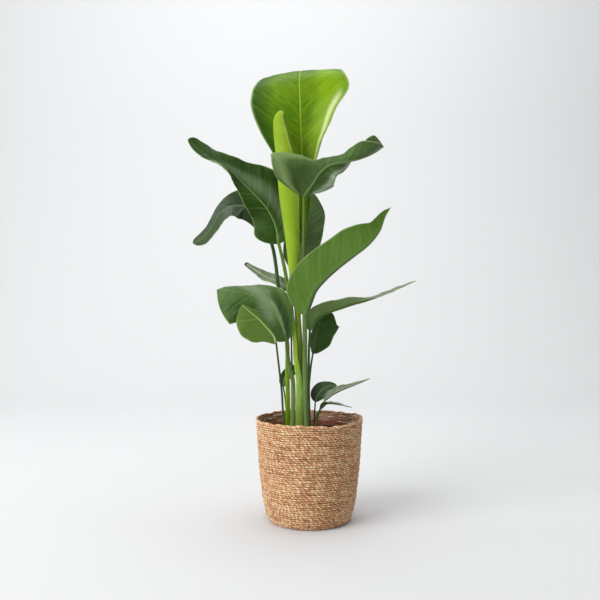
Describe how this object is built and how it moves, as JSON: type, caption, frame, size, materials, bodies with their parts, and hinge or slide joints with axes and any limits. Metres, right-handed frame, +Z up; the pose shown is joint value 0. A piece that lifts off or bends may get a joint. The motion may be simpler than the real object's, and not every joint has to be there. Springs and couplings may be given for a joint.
{
  "type": "potted bird of paradise plant in a seagrass basket",
  "caption": "Young bird of paradise plant with paddle leaves on long stalks and a rolled new leaf, in a nursery pot inside a coiled seagrass basket; stands on a floor or table",
  "frame": {"origin": "on the ground at the centre of the basket's underside", "axes": "+Z is up, +X to the plant's right seen from its front, +Y to the back; the front is the side where the rolled leaf stands before the crown leaf"},
  "size_m": [0.4599, 0.2407, 0.9186],
  "materials": {
    "seagrass": "matte",
    "pot_plastic": "matte",
    "potting_soil": "matte",
    "new_growth": "satin",
    "young_leaf": "satin",
    "mature_leaf": "satin",
    "shaded_leaf": "satin"
  },
  "bodies": {
    "root": {"basket": "seagrass", "nursery_pot": "pot_plastic", "soil": "potting_soil", "rolled_leaf": "new_growth", "crown_leaf": "new_growth", "hood_leaf": "mature_leaf", "upper_left_leaf": "mature_leaf", "drooping_left_leaf": "mature_leaf", "right_keeled_leaf": "young_leaf", "long_tipped_leaf": "mature_leaf", "arched_left_leaf": "mature_leaf", "folded_left_leaf": "young_leaf", "round_right_leaf": "shaded_leaf", "dry_tipped_leaf": "mature_leaf", "dark_back_leaf": "shaded_leaf", "low_back_leaf": "shaded_leaf", "seedling_broad_leaf": "shaded_leaf", "seedling_long_leaf": "mature_leaf", "seedling_low_leaf": "shaded_leaf"}
  },
  "joints": []
}
